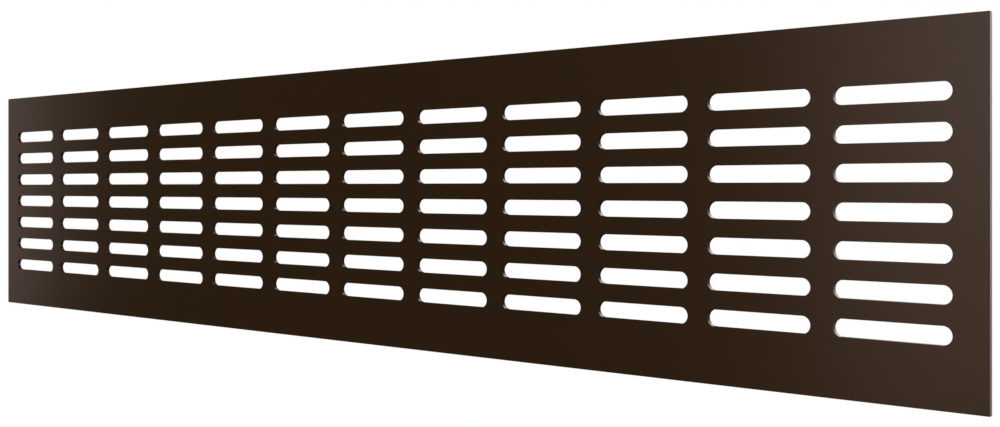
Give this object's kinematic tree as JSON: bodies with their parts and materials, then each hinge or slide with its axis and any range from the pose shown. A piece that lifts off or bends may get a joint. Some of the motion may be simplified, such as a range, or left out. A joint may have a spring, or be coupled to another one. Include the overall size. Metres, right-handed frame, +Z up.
{
  "type": "transfer air grille",
  "caption": "Flat rectangular metal sheet with rows of punched round-ended slots, fixed over an opening in a door, wall or plinth so that air can pass through.",
  "frame": {"origin": "middle of the back face, which lies against the wall or door around the opening", "axes": "+X along the length, +Y out of the back face towards the wall, +Z up the height; the front faces -Y"},
  "size_m": [0.48, 0.0015, 0.1],
  "materials": {
    "brown_coat": "satin dark brown coating on aluminium sheet"
  },
  "bodies": {
    "root": {"grille_plate": "brown_coat"}
  },
  "joints": []
}
